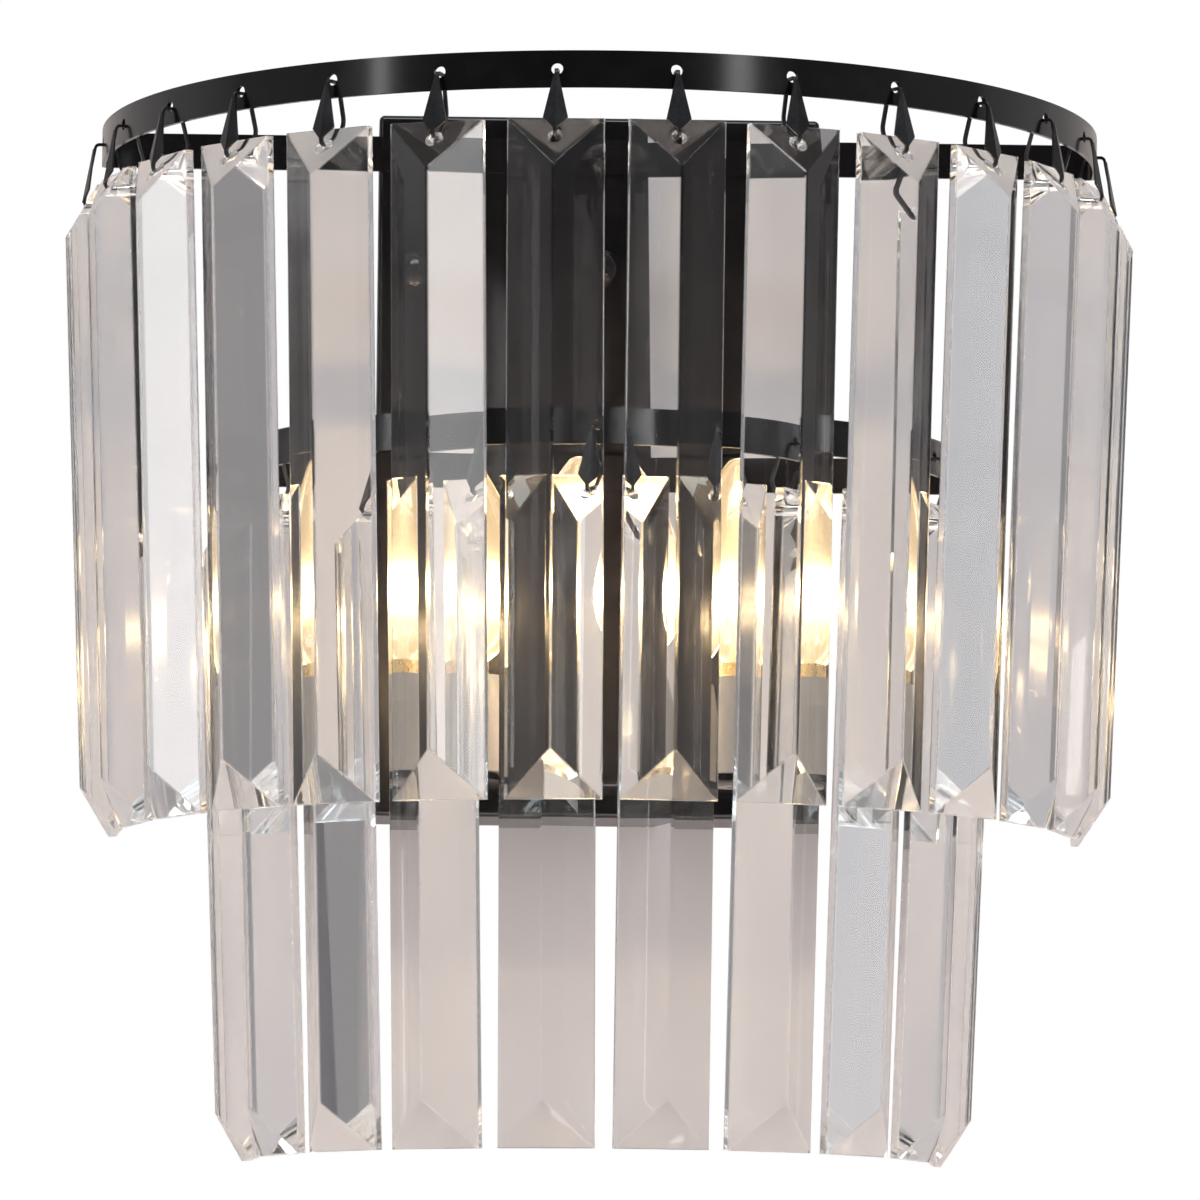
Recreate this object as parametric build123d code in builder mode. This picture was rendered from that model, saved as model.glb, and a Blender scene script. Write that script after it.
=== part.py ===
from build123d import *
import os
from math import acos, atan2, cos, degrees, hypot, pi, sin

# Half-round wall sconce with two tiers of hanging crystal prisms, in millimetres.
# The origin is on the wall, on the axis of the ball nut; +X is right, +Y goes into the wall, +Z is up.

os.makedirs("parts", exist_ok=True)

cut_overrun = 1.0

# Canopy: the folded sheet box that covers the wall bracket
canopy_width = 126.0
canopy_height = 201.0
canopy_depth = 30.0
canopy_wall = 1.2
canopy_top = 45.0
canopy_edge_radius = 1.6
canopy_bottom = canopy_top - canopy_height
canopy_front = -canopy_depth
boss_radius = 3.5
boss_length = 4.0

# Wall bracket: a slotted bar with a staked threaded stud
bracket_length = 112.0
bracket_height = 22.0
bracket_thickness = 2.5
bracket_slot_spacing = 84.0
bracket_slot_length = 16.0
bracket_slot_width = 4.6
stud_radius = 4.0
stud_collar_radius = 7.0
stud_collar_length = 3.0
stud_engagement = 7.0
stud_clearance = 0.5
thread_clearance = 0.05

# Ball nut that clamps the canopy to the wall
ball_radius = 6.0
ball_collar_radius = 6.6
ball_collar_length = 1.4
ball_neck_radius = 5.0
ball_setback = 6.6
ball_bore_spare = 0.8

# Frame rings: flat steel strip bent to a D and screwed to the canopy
band_height = 10.0
band_thickness = 1.2
band_bend_radius = 2.4
upper_radius = 142.0
lower_radius = 103.0
upper_top = 38.5
tier_drop = 91.2
upper_count = 14
lower_count = 10
end_setback = 13.0
ring_hole_radius = 1.6
ring_screw_spacing = 92.0

# Crystal prism: flat back, ridge outwards, both ends bevelled from the back to the ridge
prism_length = 182.5
prism_width = 26.2
prism_depth = 10.8
prism_bevel = 13.0
prism_edge_flat = 2.2
prism_ridge_flat = 0.7
prism_hole_radius = 1.6
prism_hole_below_top = 5.4
prism_drop = 13.4
prism_standoff = 0.0

# Hook: a stamped loop through the ring's hole and the prism's hole, with a folded leaf in front
hook_thickness = 0.8
hook_width = 1.0
hook_seat = 0.5
hook_play = 0.3
hook_front_reach = 2.0
hook_tip_reach = 5.3
hook_rear_reach = 3.2
hook_bow_reach = 6.2
hook_tail_reach = 2.6
hook_bow_share = 0.57
hook_bend_radius = 1.2
hook_bow_radius = 4.0
leaf_start = 1.4
leaf_length = 15.8
leaf_width = 6.8
leaf_neck = 1.3
leaf_widest = 12.2
leaf_fold = 0.9
leaf_thickness = 0.5
leaf_proud = 0.65

# Lamp bracket, holders and candle bulbs
lamp_spacing = 76.0
lamp_reach = 45.0
arm_width = 20.0
arm_thickness = 2.0
arm_bend_radius = 3.0
arm_end_margin = 10.0
flange_height = 16.0
shelf_above_canopy_bottom = 6.0
lamp_screw_spacing = 40.0
holder_radius = 13.0
holder_height = 27.0
holder_rim_radius = 11.4
holder_shoulder_height = 8.0
socket_depth = 22.0
spigot_radius = 5.0
spigot_lip_radius = 6.5
spigot_lip_thickness = 1.0
spigot_bore_radius = 3.0
running_clearance = 0.1
cap_radius = 6.9
cap_length = 24.0
cap_wall = 0.5
cap_contact_radius = 3.2
cap_contact_height = 2.2
cap_clearance = 0.35
glass_radius = 16.0
glass_neck_radius = 6.2
glass_neck_insert = 4.0
glass_height = 62.0
glass_wall = 0.7
glass_tip_radius = 4.2
glass_widest_share = 0.36
stem_foot_radius = 4.4
stem_radius = 2.0
stem_height = 31.0
filament_thickness = 1.0
filament_radius = 5.0
filament_height = 44.0
filament_lead_thickness = 0.7

# Fasteners and wiring
screw_radius = 2.0
screw_head_radius = 3.9
screw_head_height = 2.4
screw_head_fillet = 1.0
lead_radius = 2.0
lead_bend_radius = 5.5
lead_entry = 3.5
lead_hole_clearance = 0.6
terminal_width = 28.0
terminal_depth = 12.0
terminal_height = 16.0
terminal_slot_width = 1.6
terminal_slot_depth = 3.0


def save(piece, name):
    piece.part.label = name
    export_step(piece.part, f"parts/{name}.step")


# Places worked out from the sizes above
lower_top = upper_top - tier_drop
ring_back = canopy_front
shelf_top = canopy_bottom + shelf_above_canopy_bottom + arm_thickness
flange_bottom = canopy_bottom + shelf_above_canopy_bottom
flange_middle = flange_bottom + flange_height / 2
lamp_middle = canopy_front - lamp_reach
lamp_places = [(side * lamp_spacing / 2, lamp_middle, shelf_top) for side in (-1, 1)]
holder_top = shelf_top + holder_height
cap_bottom = holder_top - socket_depth
cap_top = cap_bottom + cap_contact_height + cap_length
neck_bottom = cap_top - glass_neck_insert
lead_level = flange_middle
screw_levels = (upper_top - band_height / 2, lower_top - band_height / 2)
screw_places = [(side * ring_screw_spacing / 2, level) for level in screw_levels for side in (-1, 1)]
lamp_screw_places = [(side * lamp_screw_spacing / 2, flange_middle) for side in (-1, 1)]


def hang_planes(radius, count, top):
    """Planes at the hooks of one ring: origin on the hook's pivot, X along the ring, Y outwards, Z up."""
    end_angle = pi / 2 - end_setback / radius
    pivot_height = top - band_height / 2 - hook_seat
    planes = []
    for number in range(count):
        angle = end_angle * (2 * number / (count - 1) - 1)
        origin = (radius * sin(angle), ring_back - radius * cos(angle), pivot_height)
        planes.append(Plane(origin=origin, x_dir=(-cos(angle), -sin(angle), 0), z_dir=(0, 0, 1)))
    return planes


upper_planes = hang_planes(upper_radius, upper_count, upper_top)
lower_planes = hang_planes(lower_radius, lower_count, lower_top)

# Canopy, open at the wall, with extruded bosses behind its screw holes
with BuildPart() as canopy:
    with BuildSketch(Plane.XZ) as canopy_outline:
        with Locations((0, canopy_top - canopy_height / 2)):
            RectangleRounded(canopy_width, canopy_height, canopy_edge_radius)
    extrude(amount=canopy_depth)
    fillet(canopy.faces().sort_by(Axis.Y)[0].edges(), canopy_edge_radius)
    offset(amount=-canopy_wall, openings=canopy.faces().sort_by(Axis.Y)[-1])
    with BuildSketch(Plane.XZ.offset(canopy_depth - canopy_wall)):
        with Locations(*screw_places, *lamp_screw_places):
            Circle(boss_radius)
    extrude(amount=-boss_length)
    with BuildSketch(Plane.XZ.offset(canopy_depth + cut_overrun)):
        with Locations(*screw_places, *lamp_screw_places):
            Circle(screw_radius + thread_clearance)
        with Locations((0, 0)):
            Circle(stud_radius + stud_clearance)
        with Locations(*[(x, lead_level) for x, _, _ in lamp_places]):
            Circle(lead_radius + lead_hole_clearance)
    extrude(amount=-(cut_overrun + canopy_wall + boss_length + cut_overrun), mode=Mode.SUBTRACT)
save(canopy, "canopy")

# Wall bracket with its stud
with BuildPart() as wall_bracket:
    with BuildSketch(Plane.XZ):
        SlotOverall(bracket_length, bracket_height)
        with Locations((-bracket_slot_spacing / 2, 0), (bracket_slot_spacing / 2, 0)):
            SlotOverall(bracket_slot_length, bracket_slot_width, mode=Mode.SUBTRACT)
    extrude(amount=bracket_thickness)
    with BuildSketch(Plane.XZ.offset(bracket_thickness)):
        RegularPolygon(stud_collar_radius, 6)
    extrude(amount=stud_collar_length)
    with BuildSketch(Plane.XZ):
        Circle(stud_radius)
    extrude(amount=canopy_depth + stud_engagement)
    chamfer(wall_bracket.faces().sort_by(Axis.Y)[0].edges(), stud_radius / 8)
save(wall_bracket, "wall_bracket")

# Ball nut, turned about the stud's axis
with BuildPart() as ball_nut:
    with Locations((0, canopy_front - ball_setback, 0)):
        Sphere(ball_radius)
    with BuildSketch(Plane.XZ.offset(canopy_depth)):
        Circle(ball_collar_radius)
    extrude(amount=ball_collar_length)
    with BuildSketch(Plane.XZ.offset(canopy_depth)):
        Circle(ball_neck_radius)
    extrude(amount=ball_setback)
    with BuildSketch(Plane.XZ.offset(canopy_depth)):
        Circle(stud_radius + thread_clearance)
    extrude(amount=stud_engagement + ball_bore_spare, mode=Mode.SUBTRACT)
save(ball_nut, "ball_nut")


def bend_ring(name, radius, top, planes):
    """A strip bent to a half circle and a straight back, drilled for its hooks and screws."""
    with BuildPart() as ring:
        with BuildSketch(Plane.XY.offset(top - band_height)):
            with BuildLine():
                CenterArc((0, ring_back), radius, 180, 180)
                Line((-radius, ring_back), (radius, ring_back))
            make_face()
            fillet(vertices(), band_bend_radius)
            offset(amount=-band_thickness, kind=Kind.INTERSECTION, mode=Mode.SUBTRACT)
        extrude(amount=band_height)
        drill_length = 2 * (band_thickness + cut_overrun)
        for plane in planes:
            with Locations(plane.offset(hook_seat) * Location((0, 0, 0), (90, 0, 0))):
                Cylinder(ring_hole_radius, drill_length, mode=Mode.SUBTRACT)
        with BuildSketch(Plane.XZ.offset(canopy_depth - cut_overrun)):
            with Locations(*[(side * ring_screw_spacing / 2, top - band_height / 2) for side in (-1, 1)]):
                Circle(screw_radius + running_clearance)
        extrude(amount=band_thickness + 2 * cut_overrun, mode=Mode.SUBTRACT)
    save(ring, name)


bend_ring("upper_ring", upper_radius, upper_top, upper_planes)
bend_ring("lower_ring", lower_radius, lower_top, lower_planes)

# Prism in its own frame: the origin is the middle of the back's top edge, Y is outwards, Z is up
with BuildPart() as prism_blank:
    half_width = prism_width / 2
    half_ridge = prism_ridge_flat / 2
    with BuildSketch(Plane.XY):
        with BuildLine():
            Polyline(
                (-half_width, 0),
                (half_width, 0),
                (half_width, prism_edge_flat),
                (half_ridge, prism_depth),
                (-half_ridge, prism_depth),
                (-half_width, prism_edge_flat),
                close=True,
            )
        make_face()
    extrude(amount=-prism_length)
    bevel_reach = prism_depth + cut_overrun
    bevel_fall = prism_bevel * (bevel_reach - prism_edge_flat) / (prism_depth - prism_edge_flat)
    with BuildSketch(Plane.YZ):
        with BuildLine():
            Polyline((prism_edge_flat, 0), (bevel_reach, 0), (bevel_reach, -bevel_fall), close=True)
        make_face()
        with BuildLine():
            Polyline(
                (prism_edge_flat, -prism_length),
                (bevel_reach, -prism_length),
                (bevel_reach, -prism_length + bevel_fall),
                close=True,
            )
        make_face()
    extrude(amount=prism_width, both=True, mode=Mode.SUBTRACT)
    with Locations(Location((0, prism_depth / 2, -prism_hole_below_top), (90, 0, 0))):
        Cylinder(prism_hole_radius, prism_depth + 2 * cut_overrun, mode=Mode.SUBTRACT)

# The prism leans until its centre of mass is straight below the hook's pivot
prism_centre = prism_blank.part.center()
centre_distance = hypot(prism_centre.Y, prism_centre.Z)
prism_lean = acos(-prism_standoff / centre_distance) - atan2(-prism_centre.Z, prism_centre.Y)
prism_place = Location((0, prism_standoff, -prism_drop), (-degrees(prism_lean), 0, 0))

# Hook in the frame of its pivot: Y is outwards, Z is up
hook_fall = prism_drop + prism_hole_below_top - (prism_hole_radius - hook_thickness / 2 - hook_play)
front_length = hypot(hook_tip_reach - hook_front_reach, hook_fall)
front_down = Vector(0, hook_tip_reach - hook_front_reach, -hook_fall) / front_length
front_outward = Vector(0, hook_fall, hook_tip_reach - hook_front_reach) / front_length
leaf_origin = Vector(0, hook_front_reach, 0) + front_down * leaf_start
with BuildPart() as leaf_blank:
    fold_half = leaf_width / 2
    with BuildSketch(Plane(origin=leaf_origin, x_dir=(1, 0, 0), z_dir=front_down)):
        with BuildLine():
            Polyline(
                (-fold_half, leaf_fold - leaf_proud),
                (0, -leaf_proud),
                (fold_half, leaf_fold - leaf_proud),
                (fold_half, leaf_fold + leaf_thickness - leaf_proud),
                (0, leaf_thickness - leaf_proud),
                (-fold_half, leaf_fold + leaf_thickness - leaf_proud),
                close=True,
            )
        make_face()
    extrude(amount=leaf_length)
    with BuildSketch(Plane(origin=leaf_origin, x_dir=(1, 0, 0), z_dir=front_outward)):
        with BuildLine():
            Polyline(
                (-leaf_neck / 2, 0),
                (-leaf_width / 2, leaf_widest),
                (0, leaf_length),
                (leaf_width / 2, leaf_widest),
                (leaf_neck / 2, 0),
                close=True,
            )
        make_face()
    extrude(amount=leaf_width, both=True, mode=Mode.INTERSECT)

hook_bends = (hook_bend_radius, hook_bend_radius, hook_bend_radius, hook_bow_radius, hook_bend_radius)
with BuildPart() as hook_blank:
    with BuildSketch(Plane.YZ):
        with BuildLine():
            FilletPolyline(
                (hook_front_reach, 0),
                (hook_tip_reach, -hook_fall),
                (-hook_tail_reach, -hook_fall),
                (-hook_bow_reach, -hook_fall * hook_bow_share),
                (-hook_rear_reach, 0),
                radius=hook_bends,
                close=True,
            )
        make_face()
        offset(amount=hook_thickness / 2)
        offset(amount=-hook_thickness, mode=Mode.SUBTRACT)
    extrude(amount=hook_width / 2, both=True)
    add(leaf_blank.part)

# Every prism and every hook is a piece of its own
for tier, planes in (("upper", upper_planes), ("lower", lower_planes)):
    for number, plane in enumerate(planes, 1):
        with BuildPart() as prism:
            add(prism_blank.part.moved(plane.location * prism_place))
        save(prism, f"{tier}_prism_{number:02d}")
        with BuildPart() as hook:
            add(hook_blank.part.moved(plane.location))
        save(hook, f"{tier}_hook_{number:02d}")

# Pan-head screws that hold the rings and the lamp bracket to the canopy
screw_length = canopy_wall + boss_length
with BuildPart() as frame_screws:
    for places, seat in ((screw_places, band_thickness), (lamp_screw_places, arm_thickness)):
        with BuildSketch(Plane.XZ.offset(canopy_depth + seat)):
            with Locations(*places):
                Circle(screw_head_radius)
        extrude(amount=screw_head_height)
        with BuildSketch(Plane.XZ.offset(canopy_depth + seat)):
            with Locations(*places):
                Circle(screw_radius)
        extrude(amount=-(seat + screw_length))
    round_edges = frame_screws.edges().filter_by(GeomType.CIRCLE)
    head_rims = round_edges.filter_by(lambda edge: edge.radius > screw_radius)
    fillet(head_rims.group_by(Axis.Y)[0] + head_rims.group_by(Axis.Y)[1], screw_head_fillet)
save(frame_screws, "frame_screws")

# Lamp bracket: a bent plate with a flange on the canopy and an arm under each lamp
with BuildPart() as lamp_bracket:
    with BuildSketch(Plane.YZ):
        with BuildLine():
            FilletPolyline(
                (canopy_front - arm_thickness / 2, flange_bottom + flange_height),
                (canopy_front - arm_thickness / 2, flange_bottom + arm_thickness / 2),
                (lamp_middle - arm_end_margin, flange_bottom + arm_thickness / 2),
                radius=arm_bend_radius,
            )
        trace(line_width=arm_thickness)
    extrude(amount=(lamp_spacing + arm_width) / 2, both=True)
    arm_gap = lamp_spacing - arm_width
    gap_back = canopy_front - arm_thickness - arm_bend_radius
    gap_front = lamp_middle - arm_end_margin - cut_overrun
    with BuildSketch(Plane.XY.offset(flange_bottom - cut_overrun)):
        with Locations((0, (gap_back + gap_front) / 2)):
            Rectangle(arm_gap, gap_back - gap_front)
    extrude(amount=arm_thickness + 2 * cut_overrun, mode=Mode.SUBTRACT)
    fillet(lamp_bracket.edges().filter_by(Axis.Z).group_by(Axis.Y)[0], arm_width / 2 - running_clearance)
    with BuildSketch(Plane.XY.offset(flange_bottom - cut_overrun)):
        with Locations(*[(x, y) for x, y, _ in lamp_places]):
            Circle(spigot_radius + running_clearance)
    extrude(amount=arm_thickness + 2 * cut_overrun, mode=Mode.SUBTRACT)
    with BuildSketch(Plane.XZ.offset(canopy_depth - cut_overrun)):
        with Locations(*lamp_screw_places):
            Circle(screw_radius + running_clearance)
        with Locations(*[(x, lead_level) for x, _, _ in lamp_places]):
            Circle(lead_radius + lead_hole_clearance)
    extrude(amount=arm_thickness + 2 * cut_overrun, mode=Mode.SUBTRACT)
save(lamp_bracket, "lamp_bracket")

# Lamp holder, turned about the lamp's axis; its spigot is flared under the arm
with BuildPart() as holder_blank:
    spigot_bottom = -arm_thickness - running_clearance - spigot_lip_thickness
    with BuildSketch(Plane.XZ):
        with BuildLine():
            Polyline(
                (spigot_bore_radius, spigot_bottom),
                (spigot_lip_radius, spigot_bottom),
                (spigot_lip_radius, spigot_bottom + spigot_lip_thickness),
                (spigot_radius, spigot_bottom + spigot_lip_thickness),
                (spigot_radius, 0),
                (holder_radius, 0),
                (holder_radius, holder_height - holder_shoulder_height),
                (holder_rim_radius, holder_height),
                (cap_radius + cap_clearance, holder_height),
                (cap_radius + cap_clearance, holder_height - socket_depth),
                (spigot_bore_radius, holder_height - socket_depth),
                close=True,
            )
        make_face()
    revolve(axis=Axis.Z)
    with Locations(Location((0, holder_radius, lead_level - shelf_top), (90, 0, 0))):
        Cylinder(lead_radius + running_clearance, 2 * (lead_entry + running_clearance), mode=Mode.SUBTRACT)

# Screw cap of the bulb: a cup with a contact at its foot
with BuildPart() as cap_blank:
    with BuildSketch(Plane.XZ):
        with BuildLine():
            Polyline(
                (0, 0),
                (cap_contact_radius, 0),
                (cap_radius, cap_contact_height),
                (cap_radius, cap_contact_height + cap_length),
                (cap_radius - cap_wall, cap_contact_height + cap_length),
                (cap_radius - cap_wall, cap_contact_height + cap_wall),
                (0, cap_contact_height + cap_wall),
                close=True,
            )
        make_face()
    revolve(axis=Axis.Z)

# Candle glass: a turned outline less the same outline set in by the wall
with BuildPart() as glass_blank:
    glass_widest = glass_height * glass_widest_share
    glass_rise = glass_height - glass_widest
    flank_across = glass_radius**2 + glass_rise**2 - 2 * glass_rise * glass_tip_radius
    flank_radius = flank_across / (2 * (glass_radius - glass_tip_radius))
    flank_turn = degrees(atan2(glass_rise - glass_tip_radius, flank_radius - glass_radius))
    flank_centre = (glass_radius - flank_radius, glass_widest)
    tip_centre = (0, glass_height - glass_tip_radius)
    for inset, mode in ((0, Mode.ADD), (glass_wall, Mode.SUBTRACT)):
        with BuildSketch(Plane.XZ):
            with BuildLine():
                Polyline(
                    (glass_neck_radius - inset, glass_neck_insert),
                    (glass_neck_radius - inset, 0),
                    (0, 0),
                    (0, glass_height - inset),
                )
                flank = CenterArc(flank_centre, flank_radius - inset, 0, flank_turn)
                CenterArc(tip_centre, glass_tip_radius - inset, flank_turn, 90 - flank_turn)
                TangentArc(flank @ 0, (glass_neck_radius - inset, glass_neck_insert), tangent=(0, -1))
            make_face()
        revolve(axis=Axis.Z, mode=mode)

# Glass stem that stands on the foot of the cap, with a half-ring filament on two leads
with BuildPart() as filament_blank:
    Cone(stem_foot_radius, stem_radius, stem_height, align=(Align.CENTER, Align.CENTER, Align.MIN))
    with BuildLine(Plane.XY.offset(filament_height)):
        filament_arc = CenterArc((0, 0), filament_radius, 180, 180)
    with BuildSketch(Plane(origin=filament_arc @ 0, z_dir=filament_arc % 0)):
        Circle(filament_thickness / 2)
    sweep(path=filament_arc)
    with BuildSketch(Plane.XZ):
        with BuildLine():
            Polyline(
                (-filament_radius, filament_height),
                (-stem_radius / 2, stem_height - filament_thickness),
                (stem_radius / 2, stem_height - filament_thickness),
                (filament_radius, filament_height),
            )
        trace(line_width=filament_lead_thickness)
    extrude(amount=filament_lead_thickness / 2, both=True)


def save_pair(name, blank, level):
    """Two equal pieces, one at each lamp."""
    with BuildPart() as pair:
        with Locations(*[(x, y, level) for x, y, _ in lamp_places]):
            add(blank.part)
    save(pair, name)


save_pair("lamp_holders", holder_blank, shelf_top)
save_pair("bulb_caps", cap_blank, cap_bottom)
save_pair("bulb_glass", glass_blank, neck_bottom)
save_pair("bulb_filaments", filament_blank, cap_bottom + cap_contact_height + cap_wall)

# Wiring inside the canopy: a terminal block, and one sheathed lead to each holder
terminal_front = canopy_front + canopy_wall
lead_depth = terminal_front + terminal_depth / 2
with BuildPart() as wiring:
    with BuildSketch(Plane.XZ.offset(-terminal_front)):
        with Locations((0, lead_level)):
            Rectangle(terminal_width, terminal_height)
    extrude(amount=-terminal_depth)
    with BuildSketch(Plane.XZ.offset(-terminal_front - terminal_depth)):
        with Locations((0, lead_level)):
            with GridLocations(terminal_width / 3, 0, 2, 1):
                Rectangle(terminal_slot_width, terminal_height)
    extrude(amount=terminal_slot_depth, mode=Mode.SUBTRACT)
    for side in (-1, 1):
        lamp_side = side * lamp_spacing / 2
        with BuildLine():
            lead_route = FilletPolyline(
                (lamp_side, lamp_middle + holder_radius - lead_entry, lead_level),
                (lamp_side, lead_depth, lead_level),
                (side * terminal_width / 2, lead_depth, lead_level),
                radius=lead_bend_radius,
            )
        with BuildSketch(Plane(origin=lead_route @ 0, z_dir=lead_route % 0)):
            Circle(lead_radius)
        sweep(path=lead_route)
save(wiring, "wiring")

print("lean of the prisms, degrees:", round(degrees(prism_lean), 2))
print("hook pivots, upper and lower ring:", upper_planes[0].origin.Z, lower_planes[0].origin.Z)
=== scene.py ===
import math

import bpy
from mathutils import Matrix, Vector

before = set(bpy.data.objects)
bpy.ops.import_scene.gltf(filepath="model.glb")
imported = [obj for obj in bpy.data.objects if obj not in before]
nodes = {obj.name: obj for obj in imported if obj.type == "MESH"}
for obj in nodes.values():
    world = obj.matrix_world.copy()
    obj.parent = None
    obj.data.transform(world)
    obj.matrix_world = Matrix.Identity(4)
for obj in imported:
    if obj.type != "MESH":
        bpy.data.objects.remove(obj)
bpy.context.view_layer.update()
scene = bpy.context.scene


def addNode(tree, kind, values=None, **settings):
    node = tree.nodes.new(kind)
    for name, value in settings.items():
        setattr(node, name, value)
    for name, value in (values or {}).items():
        node.inputs[name].default_value = value
    return node


def join(tree, source, outName, target, inName):
    tree.links.new(source.outputs[outName], target.inputs[inName])


def newGroup(name, inputs, outputs):
    group = bpy.data.node_groups.new(name, "ShaderNodeTree")
    for label, kind, value in inputs:
        socket = group.interface.new_socket(label, in_out="INPUT", socket_type=kind)
        socket.default_value = value
    for label, kind in outputs:
        group.interface.new_socket(label, in_out="OUTPUT", socket_type=kind)
    return group, group.nodes.new("NodeGroupInput"), group.nodes.new("NodeGroupOutput")


def placeGroup(tree, group, values):
    node = tree.nodes.new("ShaderNodeGroup")
    node.node_tree = group
    for name, value in values.items():
        node.inputs[name].default_value = value
    return node


def newMaterial(name):
    material = bpy.data.materials.new(name)
    material.use_nodes = True
    tree = material.node_tree
    tree.nodes.clear()
    out = tree.nodes.new("ShaderNodeOutputMaterial")
    return material, tree, out


def dress(nodeName, material):
    mesh = nodes[nodeName].data
    mesh.materials.clear()
    mesh.materials.append(material)


print("frame loaded:", len(nodes), "nodes")

grainLook = {"noiseRoughness": 0.55, "darkest": 0.3, "lightest": 0.7}


# fine unevenness of a coat, a casting or a film, by the object's own metres
def makeGrainGroup():
    group, gin, gout = newGroup(
        "surfaceGrain",
        [
            ("Scale", "NodeSocketFloat", 900.0),
            ("Detail", "NodeSocketFloat", 3.0),
            ("Low", "NodeSocketFloat", 0.3),
            ("High", "NodeSocketFloat", 0.5),
        ],
        [("Height", "NodeSocketFloat"), ("Roughness", "NodeSocketFloat")],
    )
    place = addNode(group, "ShaderNodeTexCoord")
    noise = addNode(group, "ShaderNodeTexNoise", {"Roughness": grainLook["noiseRoughness"]})
    join(group, place, "Object", noise, "Vector")
    join(group, gin, "Scale", noise, "Scale")
    join(group, gin, "Detail", noise, "Detail")
    limits = {"From Min": grainLook["darkest"], "From Max": grainLook["lightest"]}
    spread = addNode(group, "ShaderNodeMapRange", limits)
    join(group, noise, "Fac", spread, "Value")
    join(group, gin, "Low", spread, "To Min")
    join(group, gin, "High", spread, "To Max")
    join(group, noise, "Fac", gout, "Height")
    join(group, spread, "Result", gout, "Roughness")
    return group


wearLook = {
    "edgeFrom": 0.52,
    "edgeTo": 0.62,
    "patchFrom": 0.45,
    "patchTo": 0.75,
    "patchDetail": 4.0,
    "patchScale": 160.0,
}


# light wear in patches along the edges
def makeEdgeGroup():
    group, gin, gout = newGroup(
        "edgeWear",
        [
            ("Paint", "NodeSocketColor", (0.02, 0.02, 0.02, 1)),
            ("Bare", "NodeSocketColor", (0.2, 0.2, 0.2, 1)),
            ("Amount", "NodeSocketFloat", 0.5),
        ],
        [("Color", "NodeSocketColor")],
    )
    shape = addNode(group, "ShaderNodeNewGeometry")
    edges = {"From Min": wearLook["edgeFrom"], "From Max": wearLook["edgeTo"]}
    sharp = addNode(group, "ShaderNodeMapRange", edges)
    join(group, shape, "Pointiness", sharp, "Value")
    place = addNode(group, "ShaderNodeTexCoord")
    patches = {"Scale": wearLook["patchScale"], "Detail": wearLook["patchDetail"]}
    noise = addNode(group, "ShaderNodeTexNoise", patches)
    join(group, place, "Object", noise, "Vector")
    limits = {"From Min": wearLook["patchFrom"], "From Max": wearLook["patchTo"]}
    patch = addNode(group, "ShaderNodeMapRange", limits)
    join(group, noise, "Fac", patch, "Value")
    both = addNode(group, "ShaderNodeMath", operation="MULTIPLY")
    join(group, sharp, "Result", both, 0)
    join(group, patch, "Result", both, 1)
    share = addNode(group, "ShaderNodeMath", operation="MULTIPLY")
    join(group, both, "Value", share, 0)
    join(group, gin, "Amount", share, 1)
    mix = addNode(group, "ShaderNodeMix", data_type="RGBA")
    join(group, share, "Value", mix, "Factor")
    group.links.new(gin.outputs["Paint"], mix.inputs[6])
    group.links.new(gin.outputs["Bare"], mix.inputs[7])
    group.links.new(mix.outputs[2], gout.inputs["Color"])
    return group


grainGroup = makeGrainGroup()
edgeGroup = makeEdgeGroup()

# Metals, plastics and sheath

bumpDepth = 0.0002
paintLook = {
    "satinBlack": {
        "paint": (0.004, 0.0036, 0.0044),
        "bare": (0.02, 0.02, 0.021),
        "wear": 0.2,
        "grain": 1400.0,
        "low": 0.15,
        "high": 0.18,
        "bump": 0.001,
        "metallic": 0.0,
    },
    "stampedBlack": {
        "paint": (0.008, 0.008, 0.01),
        "bare": (0.05, 0.05, 0.055),
        "wear": 0.5,
        "grain": 2200.0,
        "low": 0.26,
        "high": 0.36,
        "bump": 0.05,
        "metallic": 0.2,
    },
    "zincSteel": {
        "paint": (0.55, 0.55, 0.53),
        "bare": (0.4, 0.39, 0.36),
        "wear": 0.6,
        "grain": 500.0,
        "low": 0.28,
        "high": 0.45,
        "bump": 0.05,
        "metallic": 1.0,
    },
    "moldedGray": {
        "paint": (0.3, 0.28, 0.26),
        "bare": (0.34, 0.32, 0.3),
        "wear": 0.3,
        "grain": 1800.0,
        "low": 0.5,
        "high": 0.62,
        "bump": 0.1,
        "metallic": 0.0,
    },
    "capBrass": {
        "paint": (0.78, 0.6, 0.33),
        "bare": (0.5, 0.36, 0.18),
        "wear": 0.5,
        "grain": 700.0,
        "low": 0.22,
        "high": 0.38,
        "bump": 0.04,
        "metallic": 1.0,
    },
    "leadSheath": {
        "paint": (0.025, 0.025, 0.026),
        "bare": (0.05, 0.05, 0.05),
        "wear": 0.2,
        "grain": 1500.0,
        "low": 0.45,
        "high": 0.55,
        "bump": 0.06,
        "metallic": 0.0,
    },
}


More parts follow.
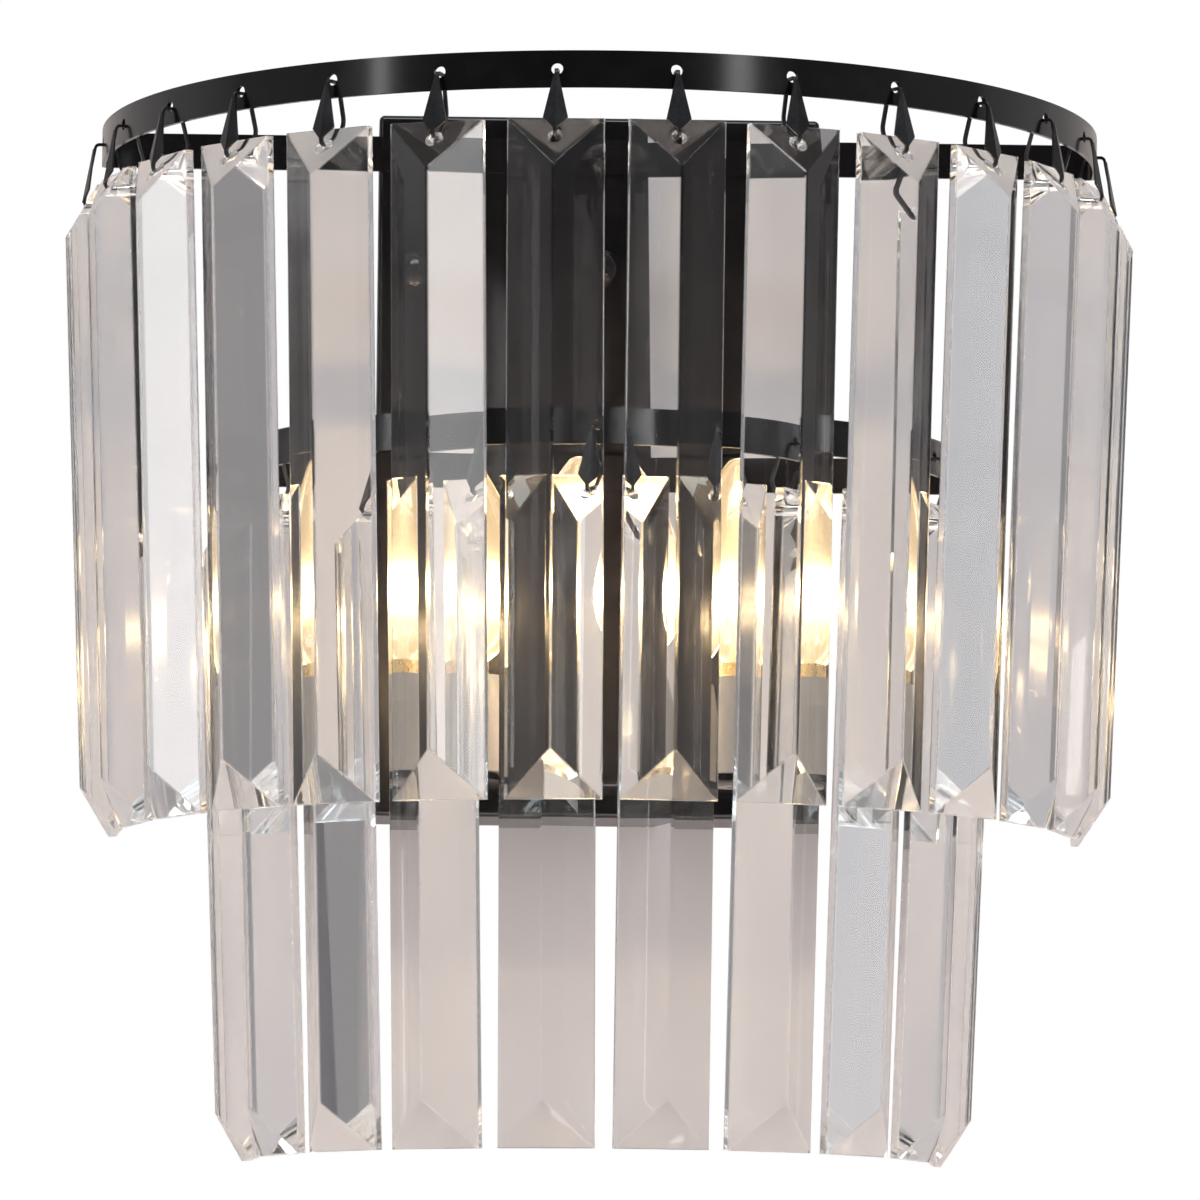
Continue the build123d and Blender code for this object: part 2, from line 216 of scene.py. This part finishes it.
def makePaint(name):
    look = paintLook[name]
    material, tree, out = newMaterial(name)
    body = addNode(tree, "ShaderNodeBsdfPrincipled", {"Metallic": look["metallic"]})
    coat = {"Paint": (*look["paint"], 1), "Bare": (*look["bare"], 1), "Amount": look["wear"]}
    wear = placeGroup(tree, edgeGroup, coat)
    grain = placeGroup(tree, grainGroup, {"Scale": look["grain"], "Low": look["low"], "High": look["high"]})
    bump = addNode(tree, "ShaderNodeBump", {"Strength": look["bump"], "Distance": bumpDepth})
    join(tree, wear, "Color", body, "Base Color")
    join(tree, grain, "Roughness", body, "Roughness")
    join(tree, grain, "Height", bump, "Height")
    join(tree, bump, "Normal", body, "Normal")
    join(tree, body, "BSDF", out, "Surface")
    return material


paints = {name: makePaint(name) for name in paintLook}
paintPlaces = {
    "canopy": "satinBlack",
    "ball_nut": "satinBlack",
    "upper_ring": "satinBlack",
    "lower_ring": "satinBlack",
    "frame_screws": "satinBlack",
    "lamp_bracket": "satinBlack",
    "wall_bracket": "zincSteel",
    "lamp_holders": "moldedGray",
    "bulb_caps": "capBrass",
    "wiring": "leadSheath",
}
for nodeName, paintName in paintPlaces.items():
    dress(nodeName, paints[paintName])
for nodeName in nodes:
    if "_hook_" in nodeName:
        dress(nodeName, paints["stampedBlack"])
print("metals and plastics dressed")

# Crystal and bulb glass

glassLook = {
    "crystal": {
        "tint": (0.98, 0.985, 0.985),
        "shade": (0.86, 0.86, 0.87),
        "ior": 1.5,
        "filmScale": 45.0,
        "filmRoughness": 0.012,
        "edgeRadius": 0.0008,
    },
    "bulbGlass": {
        "tint": (1.0, 0.99, 0.97),
        "shade": (0.96, 0.94, 0.9),
        "ior": 1.47,
        "filmScale": 60.0,
        "filmRoughness": 0.012,
        "edgeRadius": 0.0,
    },
}
edgeSamples = 4
filmDetail = 1.0
# painted glow on the bulb glass, standing in for the glare around a lit filament, strongest at the height
# of the filament
paintedGlowLook = {
    "color": (1.0, 0.7, 0.36),
    "height": -0.0963,
    "reach": 0.045,
    "sharpness": 20.0,
    "strength": 11.0,
    "haze": 0.018,
}


# clear glass that lets lamp light through as soft shade instead of hard caustics
def makeGlass(name):
    look = glassLook[name]
    material, tree, out = newMaterial(name)
    body = addNode(tree, "ShaderNodeBsdfPrincipled", {"Transmission Weight": 1.0, "IOR": look["ior"]})
    body.inputs["Base Color"].default_value = (*look["tint"], 1)
    film = placeGroup(tree, grainGroup, {"Scale": look["filmScale"], "Detail": filmDetail, "Low": 0.0})
    film.inputs["High"].default_value = look["filmRoughness"]
    join(tree, film, "Roughness", body, "Roughness")
    if look["edgeRadius"] > 0:
        edge = addNode(tree, "ShaderNodeBevel", {"Radius": look["edgeRadius"]}, samples=edgeSamples)
        join(tree, edge, "Normal", body, "Normal")
    path = addNode(tree, "ShaderNodeLightPath")
    clear = addNode(tree, "ShaderNodeBsdfTransparent", {"Color": (*look["shade"], 1)})
    mix = addNode(tree, "ShaderNodeMixShader")
    join(tree, path, "Is Shadow Ray", mix, "Fac")
    tree.links.new(body.outputs["BSDF"], mix.inputs[1])
    tree.links.new(clear.outputs["BSDF"], mix.inputs[2])
    join(tree, mix, "Shader", out, "Surface")
    return material


glasses = {name: makeGlass(name) for name in glassLook}


# paints the glow into the bulb glass as emission, faint away from the filament's height
def addPaintedGlow(material):
    tree = material.node_tree
    body = next(node for node in tree.nodes if node.type == "BSDF_PRINCIPLED")
    place = addNode(tree, "ShaderNodeTexCoord")
    split = addNode(tree, "ShaderNodeSeparateXYZ")
    away = addNode(tree, "ShaderNodeMath", {1: paintedGlowLook["height"]}, operation="SUBTRACT")
    distance = addNode(tree, "ShaderNodeMath", operation="ABSOLUTE")
    near = addNode(tree, "ShaderNodeMapRange", {"From Min": paintedGlowLook["reach"], "From Max": 0.0})
    peak = addNode(tree, "ShaderNodeMath", {1: paintedGlowLook["sharpness"]}, operation="POWER")
    tint = addNode(tree, "ShaderNodeMix", data_type="RGBA")
    faint = [channel * paintedGlowLook["haze"] for channel in paintedGlowLook["color"]]
    tint.inputs[6].default_value = (*faint, 1)
    tint.inputs[7].default_value = (*paintedGlowLook["color"], 1)
    join(tree, place, "Object", split, "Vector")
    join(tree, split, "Z", away, 0)
    join(tree, away, "Value", distance, 0)
    join(tree, distance, "Value", near, "Value")
    join(tree, near, "Result", peak, 0)
    join(tree, peak, "Value", tint, "Factor")
    tree.links.new(tint.outputs[2], body.inputs["Emission Color"])
    body.inputs["Emission Strength"].default_value = paintedGlowLook["strength"]


addPaintedGlow(glasses["bulbGlass"])
for nodeName in nodes:
    if "_prism_" in nodeName:
        dress(nodeName, glasses["crystal"])
dress("bulb_glass", glasses["bulbGlass"])
print("glass dressed")

# Lit filaments: the half ring glows, from the heights below upwards, and the wires under it don't

filamentLook = {
    "wire": (0.3, 0.28, 0.25),
    "roughness": 0.3,
    "hot": (1.0, 0.78, 0.5),
    "strength": 3200.0,
    "hotFrom": -0.099,
    "hotTo": -0.098,
}


def makeFilament():
    look = filamentLook
    material, tree, out = newMaterial("hotFilament")
    wire = {"Base Color": (*look["wire"], 1), "Roughness": look["roughness"]}
    body = addNode(tree, "ShaderNodeBsdfPrincipled", {**wire, "Emission Strength": look["strength"]})
    place = addNode(tree, "ShaderNodeTexCoord")
    split = addNode(tree, "ShaderNodeSeparateXYZ")
    height = addNode(tree, "ShaderNodeMapRange", {"From Min": look["hotFrom"], "From Max": look["hotTo"]})
    mix = addNode(tree, "ShaderNodeMix", data_type="RGBA")
    mix.inputs[6].default_value = (0, 0, 0, 1)
    mix.inputs[7].default_value = (*look["hot"], 1)
    join(tree, place, "Object", split, "Vector")
    join(tree, split, "Z", height, "Value")
    join(tree, height, "Result", mix, "Factor")
    tree.links.new(mix.outputs[2], body.inputs["Emission Color"])
    join(tree, body, "BSDF", out, "Surface")
    return material


dress("bulb_filaments", makeFilament())
print("filaments lit")

# Wall, floor and light

stageLook = {
    "wall": (0.62, 0.6, 0.625),
    "floor": (0.72, 0.7, 0.69),
    "wallSize": 6.0,
    "floorDrop": 1.3,
    "whiteInGlass": 0.03,
    "wallGap": 0.0004,
}


# 1 for what the camera sees directly, and a share for what it sees in glass and metal
def seenAsWhite(tree, share):
    path = addNode(tree, "ShaderNodeLightPath")
    both = addNode(tree, "ShaderNodeMath", operation="MAXIMUM")
    part = addNode(tree, "ShaderNodeMath", {1: share}, operation="MULTIPLY")
    whole = addNode(tree, "ShaderNodeMath", operation="MAXIMUM")
    join(tree, path, "Is Glossy Ray", both, 0)
    join(tree, path, "Is Transmission Ray", both, 1)
    join(tree, both, "Value", part, 0)
    join(tree, path, "Is Camera Ray", whole, 0)
    join(tree, part, "Value", whole, 1)
    return whole.outputs["Value"]


# one-sided: seen from behind it isn't there, so the back of the object can be looked at
def makeStageMaterial(name, color):
    material, tree, out = newMaterial(name)
    body = addNode(tree, "ShaderNodeBsdfDiffuse", {"Color": (*color, 1)})
    white = addNode(tree, "ShaderNodeEmission", {"Strength": 1.0})
    clear = addNode(tree, "ShaderNodeBsdfTransparent")
    shape = addNode(tree, "ShaderNodeNewGeometry")
    front = addNode(tree, "ShaderNodeMixShader")
    side = addNode(tree, "ShaderNodeMixShader")
    tree.links.new(seenAsWhite(tree, stageLook["whiteInGlass"]), front.inputs["Fac"])
    tree.links.new(body.outputs["BSDF"], front.inputs[1])
    tree.links.new(white.outputs["Emission"], front.inputs[2])
    join(tree, shape, "Backfacing", side, "Fac")
    tree.links.new(front.outputs["Shader"], side.inputs[1])
    tree.links.new(clear.outputs["BSDF"], side.inputs[2])
    join(tree, side, "Shader", out, "Surface")
    return material


def makePlane(name, corners, material):
    mesh = bpy.data.meshes.new(name)
    mesh.from_pydata(corners, [], [(0, 1, 2, 3)])
    mesh.materials.append(material)
    piece = bpy.data.objects.new(name, mesh)
    scene.collection.objects.link(piece)


# the wall stands behind the object, and the floor reaches out from its foot
def makeStage():
    half = stageLook["wallSize"] / 2
    foot = -stageLook["floorDrop"]
    back = stageLook["wallGap"]
    wall = [(-half, back, foot), (half, back, foot), (half, back, half), (-half, back, half)]
    floor = [(-half, -half, foot), (half, -half, foot), (half, back, foot), (-half, back, foot)]
    makePlane("wall", wall, makeStageMaterial("wallPaint", stageLook["wall"]))
    makePlane("floor", floor, makeStageMaterial("floorPaint", stageLook["floor"]))


makeStage()

# soft light of the room, darker on the camera's side
worldLook = {
    "side": (0.27, 0.255, 0.258),
    "cameraSide": (0.03, 0.03, 0.032),
    "turnFrom": -0.9,
    "turnTo": -0.25,
    "whiteInGlass": 0.03,
}


def makeWorld():
    world = bpy.data.worlds.new("studio")
    world.use_nodes = True
    tree = world.node_tree
    tree.nodes.clear()
    out = tree.nodes.new("ShaderNodeOutputWorld")
    place = addNode(tree, "ShaderNodeTexCoord")
    split = addNode(tree, "ShaderNodeSeparateXYZ")
    bend = {"From Min": worldLook["turnFrom"], "From Max": worldLook["turnTo"]}
    turn = addNode(tree, "ShaderNodeMapRange", bend)
    tone = addNode(tree, "ShaderNodeMix", data_type="RGBA")
    tone.inputs[6].default_value = (*worldLook["cameraSide"], 1)
    tone.inputs[7].default_value = (*worldLook["side"], 1)
    room = addNode(tree, "ShaderNodeBackground", {"Strength": 1.0})
    join(tree, place, "Generated", split, "Vector")
    join(tree, split, "Y", turn, "Value")
    join(tree, turn, "Result", tone, "Factor")
    tree.links.new(tone.outputs[2], room.inputs["Color"])
    white = addNode(tree, "ShaderNodeBackground", {"Color": (1, 1, 1, 1), "Strength": 1.0})
    mix = addNode(tree, "ShaderNodeMixShader")
    tree.links.new(seenAsWhite(tree, worldLook["whiteInGlass"]), mix.inputs["Fac"])
    tree.links.new(room.outputs["Background"], mix.inputs[1])
    tree.links.new(white.outputs["Background"], mix.inputs[2])
    join(tree, mix, "Shader", out, "Surface")
    scene.world = world


makeWorld()

# all lamps aim at the middle of the object, and the low box stands for light from the studio's floor
lampTarget = (0.0, -0.08, -0.1)
lampLook = {
    "leftStrip": {
        "at": (-1.5, -1.241, 0.2),
        "size": (0.09, 1.2),
        "power": 2.6,
        "color": (1.0, 0.99, 0.98),
    },
    "rightStrip": {
        "at": (1.13, -2.075, 0.35),
        "size": (0.22, 1.5),
        "power": 5.2,
        "color": (0.98, 0.99, 1.0),
    },
    "topBox": {
        "at": (0.0, -1.3, 1.9),
        "size": (2.2, 0.9),
        "power": 34.0,
        "color": (0.86, 0.96, 1.0),
    },
    "lowBox": {
        "at": (0.0, -0.75, -1.2),
        "size": (1.8, 0.8),
        "power": 15.5,
        "color": (1.0, 0.86, 0.76),
    },
}
for lampName, look in lampLook.items():
    data = bpy.data.lights.new(lampName, "AREA")
    data.shape = "RECTANGLE"
    data.size, data.size_y = look["size"]
    data.energy = look["power"]
    data.color = look["color"]
    lamp = bpy.data.objects.new(lampName, data)
    lamp.location = look["at"]
    aim = Vector(lampTarget) - Vector(look["at"])
    lamp.rotation_euler = aim.to_track_quat("-Z", "Y").to_euler()
    scene.collection.objects.link(lamp)
print("stage and lights set")

# Camera at the photo's angle, for a frame of 1200 x 1200

cameraLook = {
    "at": (-0.073, -2.2936, -0.3511),
    "yaw": -1.875,
    "pitch": 6.478,
    "roll": -0.437,
    "focalPixels": 8019.3,
    "framePixels": 1200.0,
    "sensor": 36.0,
    "clip": (0.05, 50.0),
}


def makeCamera():
    look = cameraLook
    yaw = Matrix.Rotation(math.radians(look["yaw"]), 4, "Z")
    pitch = Matrix.Rotation(math.radians(look["pitch"]), 4, "X")
    roll = Matrix.Rotation(math.radians(look["roll"]), 4, "Y")
    level = Matrix.Rotation(math.radians(90), 4, "X")  # a new camera looks down, and this one along +Y
    data = bpy.data.cameras.new("photoCamera")
    data.sensor_width = look["sensor"]
    data.lens = look["focalPixels"] / look["framePixels"] * look["sensor"]
    data.clip_start, data.clip_end = look["clip"]
    camera = bpy.data.objects.new("photoCamera", data)
    camera.matrix_world = Matrix.Translation(look["at"]) @ yaw @ pitch @ roll @ level
    scene.collection.objects.link(camera)
    scene.camera = camera


makeCamera()
scene.view_settings.view_transform = "Standard"

# light meets many faces of glass on its way, so it may turn more often than usual
bounceLook = {"most": 64, "transmission": 48, "glossy": 48, "transparent": 32}
scene.cycles.max_bounces = bounceLook["most"]
scene.cycles.transmission_bounces = bounceLook["transmission"]
scene.cycles.glossy_bounces = bounceLook["glossy"]
scene.cycles.transparent_max_bounces = bounceLook["transparent"]
print("camera set")
